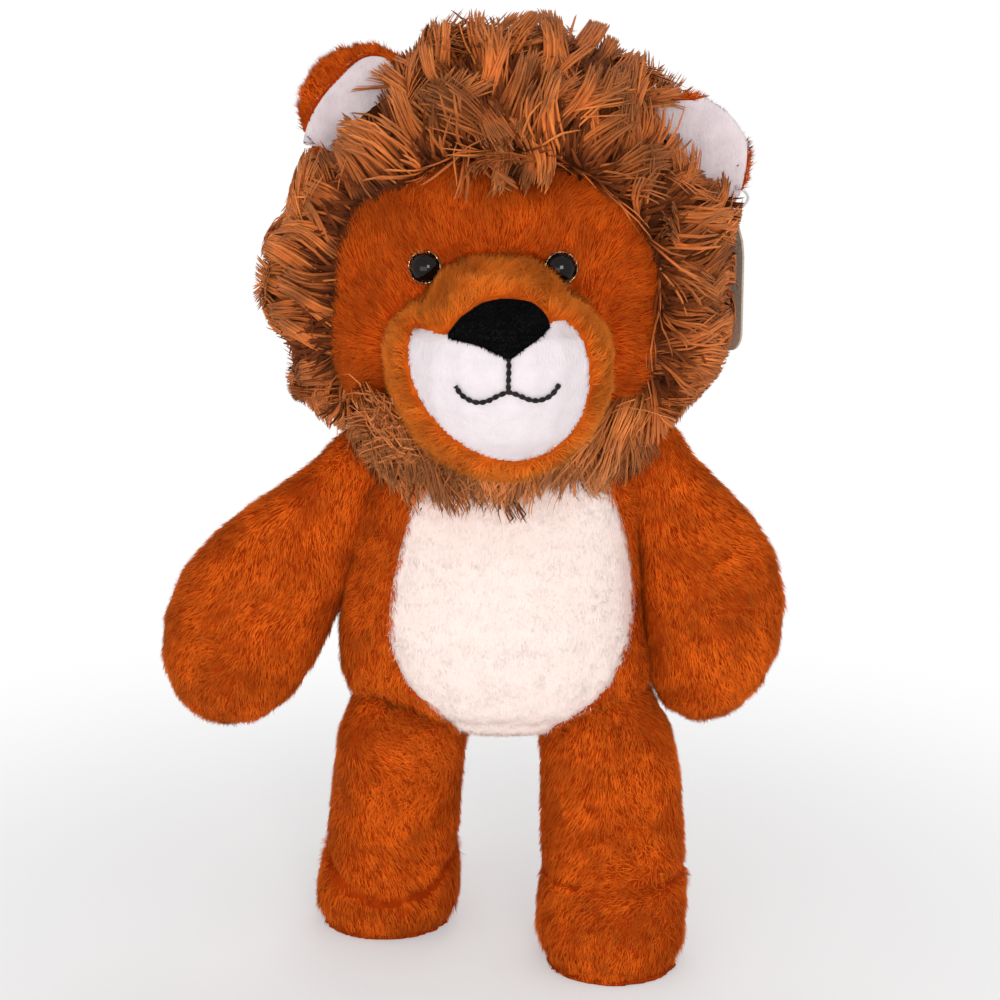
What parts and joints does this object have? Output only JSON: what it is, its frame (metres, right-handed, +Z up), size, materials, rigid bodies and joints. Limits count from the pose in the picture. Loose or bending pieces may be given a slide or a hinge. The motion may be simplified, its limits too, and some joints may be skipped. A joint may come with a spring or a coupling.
{
  "type": "plush lion",
  "caption": "Standing plush lion with long arms, a shaggy mane, safety eyes, a pale belly panel, a tufted tail and a plain swing tag.",
  "frame": {"origin": "on the floor under the middle of the bounding box", "axes": "+Z up, the face looks along -Y, the lion's own left is +X"},
  "size_m": [0.2598, 0.1786, 0.3879],
  "materials": {
    "rust_plush": "short directional pile, rust orange",
    "muzzle_plush": "short pile, lighter orange",
    "mane_plush": "long matted pile, brown",
    "white_plush": "smooth short pile, cool white",
    "cream_plush": "fluffy pile, warm white",
    "black_fleece": "smooth fleece, black",
    "black_thread": "twisted thread, black",
    "eye_plastic": "polished, black",
    "rim_plastic": "gold glitter",
    "washer_plastic": "moulded, natural",
    "loop_plastic": "clear to white, moulded",
    "stuffing": "loose fibre",
    "tag_card": "plain grey-brown board"
  },
  "bodies": {
    "torso": {"torso_front_cover": "rust_plush", "belly_panel": "cream_plush", "torso_back_cover": "rust_plush", "torso_stuffing": "stuffing"},
    "neck": {"neck_stuffing": "stuffing"},
    "head": {"face_cover": "rust_plush", "head_stuffing": "stuffing", "muzzle_cover": "muzzle_plush", "muzzle_patch": "white_plush", "muzzle_stuffing": "stuffing", "nose": "black_fleece", "mouth_stitching": "black_thread", "mane_front": "mane_plush", "mane_back": "mane_plush", "left_eye": "eye_plastic", "left_eye_rim": "rim_plastic", "left_eye_washer": "washer_plastic", "right_eye": "eye_plastic", "right_eye_rim": "rim_plastic", "right_eye_washer": "washer_plastic", "tag_loop": "loop_plastic"},
    "left_shoulder": {"left_shoulder_stuffing": "stuffing"},
    "left_arm": {"left_arm_front_cover": "rust_plush", "left_arm_back_cover": "rust_plush", "left_arm_stuffing": "stuffing"},
    "right_shoulder": {"right_shoulder_stuffing": "stuffing"},
    "right_arm": {"right_arm_front_cover": "rust_plush", "right_arm_back_cover": "rust_plush", "right_arm_stuffing": "stuffing"},
    "left_leg": {"left_leg_front_cover": "rust_plush", "left_leg_back_cover": "rust_plush", "left_foot_cover": "rust_plush", "left_sole": "rust_plush", "left_leg_stuffing": "stuffing"},
    "right_leg": {"right_leg_front_cover": "rust_plush", "right_leg_back_cover": "rust_plush", "right_foot_cover": "rust_plush", "right_sole": "rust_plush", "right_leg_stuffing": "stuffing"},
    "left_ear": {"left_ear_lining": "white_plush", "left_ear_back": "rust_plush"},
    "right_ear": {"right_ear_lining": "white_plush", "right_ear_back": "rust_plush"},
    "tail": {"tail_cover": "rust_plush", "tail_tuft": "mane_plush"},
    "tag": {"swing_tag": "tag_card"}
  },
  "joints": [
    {"name": "head_turn", "type": "hinge", "parent": "torso", "child": "neck", "pos_m": [0.01234, 0.01246, 0.226], "axis": [0, 0, 1], "range_deg": [-45, 45]},
    {"name": "head_nod", "type": "hinge", "parent": "neck", "child": "head", "pos_m": [0.01234, 0.01246, 0.226], "axis": [1, 0, 0], "range_deg": [-12, 15]},
    {"name": "left_arm_swing", "type": "hinge", "parent": "torso", "child": "left_shoulder", "pos_m": [0.06954, 0.01246, 0.217], "axis": [-1, 0, 0], "range_deg": [-45, 100]},
    {"name": "left_arm_raise", "type": "hinge", "parent": "left_shoulder", "child": "left_arm", "pos_m": [0.06954, 0.01246, 0.217], "axis": [0, -1, 0], "range_deg": [0, 60]},
    {"name": "left_leg_swing", "type": "hinge", "parent": "torso", "child": "left_leg", "pos_m": [0.05634, 0.01046, 0.092], "axis": [-1, 0, 0], "range_deg": [-38, 52]},
    {"name": "left_ear_fold", "type": "hinge", "parent": "head", "child": "left_ear", "pos_m": [0.06723, 0.01838, 0.32543], "axis": [0.5736, 0, -0.8191], "range_deg": [-12, 12], "stiffness_Nm_per_rad": 0.02},
    {"name": "right_arm_swing", "type": "hinge", "parent": "torso", "child": "right_shoulder", "pos_m": [-0.04486, 0.01246, 0.212], "axis": [-1, 0, 0], "range_deg": [-45, 100]},
    {"name": "right_arm_raise", "type": "hinge", "parent": "right_shoulder", "child": "right_arm", "pos_m": [-0.04486, 0.01246, 0.212], "axis": [0, 1, 0], "range_deg": [0, 50]},
    {"name": "right_leg_swing", "type": "hinge", "parent": "torso", "child": "right_leg", "pos_m": [-0.03166, 0.01046, 0.092], "axis": [-1, 0, 0], "range_deg": [-8.8, 81]},
    {"name": "right_ear_fold", "type": "hinge", "parent": "head", "child": "right_ear", "pos_m": [-0.02891, 0.01838, 0.3398], "axis": [0.788, 0, 0.6157], "range_deg": [-12, 12], "stiffness_Nm_per_rad": 0.02},
    {"name": "tail_swing", "type": "hinge", "parent": "torso", "child": "tail", "pos_m": [0.01234, 0.0503, 0.112], "axis": [0.788, 0, -0.6157], "range_deg": [-10, 60]},
    {"name": "tag_swing", "type": "hinge", "parent": "head", "child": "tag", "pos_m": [0.10543, 0.05086, 0.313], "axis": [0.866, 0.5, 0], "range_deg": [-25, 25]}
  ]
}
